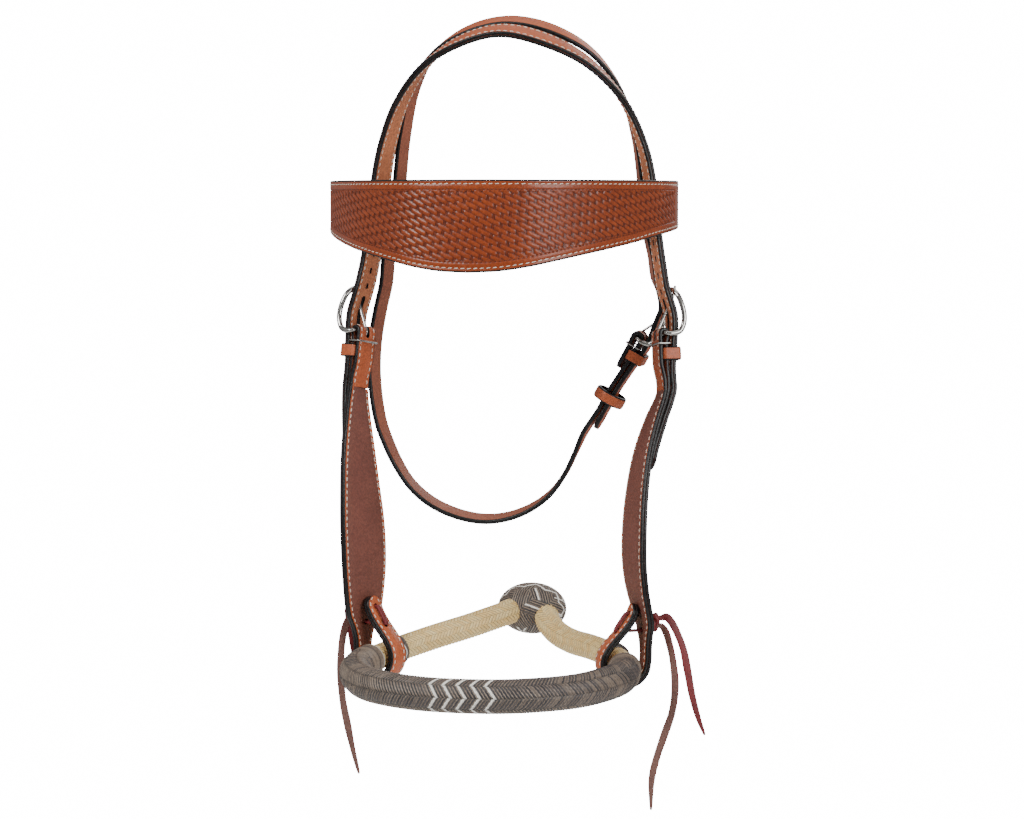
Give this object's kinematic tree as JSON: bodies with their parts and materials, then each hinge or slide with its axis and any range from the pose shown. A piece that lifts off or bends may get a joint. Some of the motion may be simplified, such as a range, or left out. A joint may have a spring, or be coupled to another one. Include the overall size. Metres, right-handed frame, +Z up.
{
  "type": "bitless hackamore",
  "caption": "Western bosal hackamore: braided rawhide noseband hung from a leather headstall with a wide tooled browband, buckled cheekpieces and a throatlatch.",
  "frame": {"origin": "middle of the crown strap's underside, at the top of the poll", "axes": "+Z up as it hangs, -Y towards the front of the horse, +X towards its near (left) side"},
  "size_m": [0.2857, 0.2735, 0.5836],
  "materials": {
    "tan_leather": "smooth tan harness leather, black edges, cream stitching",
    "brown_leather": "brown flesh-side lining leather",
    "latigo_thong": "oiled wine-red latigo thong",
    "stainless_steel": "polished stainless wire",
    "rawhide": "natural braided rawhide, semi-gloss",
    "dark_braid": "dark brown and white fine herringbone braid"
  },
  "bodies": {
    "headstall": {"crown_outer": "tan_leather", "crown_lining": "brown_leather", "throatlatch_upper": "tan_leather", "near_cheek_outer": "tan_leather", "near_cheek_lining": "brown_leather", "near_cheek_wire_loop": "stainless_steel", "near_cheek_keeper": "tan_leather", "near_lace": "latigo_thong", "near_lace_knot": "latigo_thong", "near_lace_tail_long": "latigo_thong", "near_lace_tail_short": "latigo_thong", "off_cheek_outer": "tan_leather", "off_cheek_lining": "brown_leather", "off_cheek_wire_loop": "stainless_steel", "off_cheek_keeper": "tan_leather", "off_lace": "latigo_thong", "off_lace_knot": "latigo_thong", "off_lace_tail_long": "latigo_thong", "off_lace_tail_short": "latigo_thong"},
    "browband": {"browband_outer": "tan_leather", "browband_lining": "brown_leather"},
    "noseband": {"bosal_core": "rawhide", "shank_braid": "rawhide", "nose_button": "dark_braid", "near_side_button": "dark_braid", "off_side_button": "dark_braid", "heel_knot": "dark_braid"},
    "near_buckle": {"near_cheek_buckle": "stainless_steel"},
    "near_tongue": {"near_cheek_tongue": "stainless_steel"},
    "off_buckle": {"off_cheek_buckle": "stainless_steel"},
    "off_tongue": {"off_cheek_tongue": "stainless_steel"},
    "throatlatch": {"throatlatch_drop": "tan_leather", "throatlatch_billet": "tan_leather", "throat_wire_loop": "stainless_steel", "throat_keeper": "tan_leather"},
    "throat_frame": {"throat_buckle": "stainless_steel"},
    "throat_prong": {"throat_tongue": "stainless_steel"},
    "sliding_keeper": {"throat_sliding_keeper": "tan_leather"}
  },
  "joints": [
    {"name": "browband_slide", "type": "slide", "parent": "headstall", "child": "browband", "axis": [0, 0, 1], "range_m": [-0.008, 0.008]},
    {"name": "noseband_rock", "type": "hinge", "parent": "headstall", "child": "noseband", "pos_m": [0, -0.0085, -0.4595], "axis": [1, 0, 0], "range_deg": [-12, 2.5]},
    {"name": "near_buckle_swing", "type": "hinge", "parent": "headstall", "child": "near_buckle", "pos_m": [0.1131, 0.0276, -0.22], "axis": [-0.4637, 0.8721, -0.1564], "range_deg": [0, 25]},
    {"name": "near_tongue_lift", "type": "hinge", "parent": "near_buckle", "child": "near_tongue", "pos_m": [0.1131, 0.0276, -0.22], "axis": [-0.4637, 0.8721, -0.1564], "range_deg": [0, 20]},
    {"name": "off_buckle_swing", "type": "hinge", "parent": "headstall", "child": "off_buckle", "pos_m": [-0.1131, 0.0276, -0.22], "axis": [-0.4637, -0.8721, 0.1564], "range_deg": [0, 25]},
    {"name": "off_tongue_lift", "type": "hinge", "parent": "off_buckle", "child": "off_tongue", "pos_m": [-0.1131, 0.0276, -0.22], "axis": [-0.4637, -0.8721, 0.1564], "range_deg": [0, 20]},
    {"name": "throatlatch_swing", "type": "hinge", "parent": "headstall", "child": "throatlatch", "pos_m": [0, 0.057, -0.17], "axis": [1, 0, 0], "range_deg": [-2, 35]},
    {"name": "throat_buckle_swing", "type": "hinge", "parent": "throatlatch", "child": "throat_frame", "pos_m": [0.092, 0.058, -0.224], "axis": [0.0403, 0.9992, 0.0006], "range_deg": [0, 25]},
    {"name": "throat_tongue_lift", "type": "hinge", "parent": "throat_frame", "child": "throat_prong", "pos_m": [0.092, 0.058, -0.224], "axis": [0.0403, 0.9992, 0.0006], "range_deg": [0, 20]},
    {"name": "keeper_slide", "type": "slide", "parent": "throatlatch", "child": "sliding_keeper", "axis": [0.484, -0.02, 0.8748], "range_m": [-0.006, 0.006]}
  ]
}
